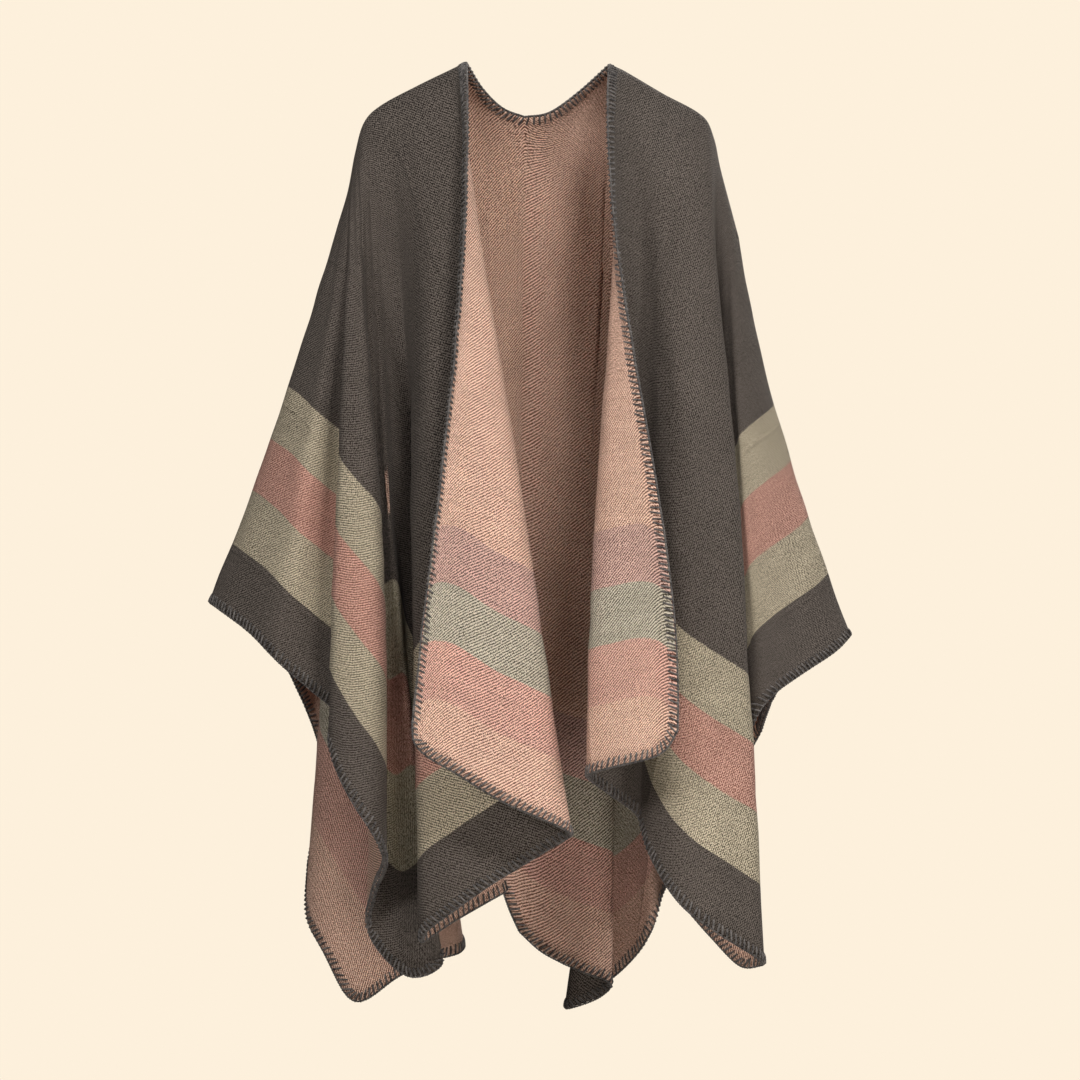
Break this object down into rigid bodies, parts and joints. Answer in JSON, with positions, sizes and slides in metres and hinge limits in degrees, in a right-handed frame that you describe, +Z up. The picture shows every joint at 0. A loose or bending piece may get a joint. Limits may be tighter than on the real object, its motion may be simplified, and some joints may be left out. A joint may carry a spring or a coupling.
{
  "type": "open-front poncho cape",
  "caption": "Open-front woven poncho cape, hollow as worn, with fronts folded back, wide sleeve drape and a banded border",
  "frame": {"origin": "between the two neck points, at the height of the top of the shoulders, where a wearer carries the cape", "axes": "+Z up, -Y out of the open front, +X to the wearer's left"},
  "size_m": [0.596, 0.3802, 0.8811],
  "materials": {
    "woven_cloth": "thick soft double-faced twill, matt, charcoal outside and salmon inside, banded near the edges"
  },
  "bodies": {
    "root": {"cloth": "woven_cloth"}
  },
  "joints": []
}
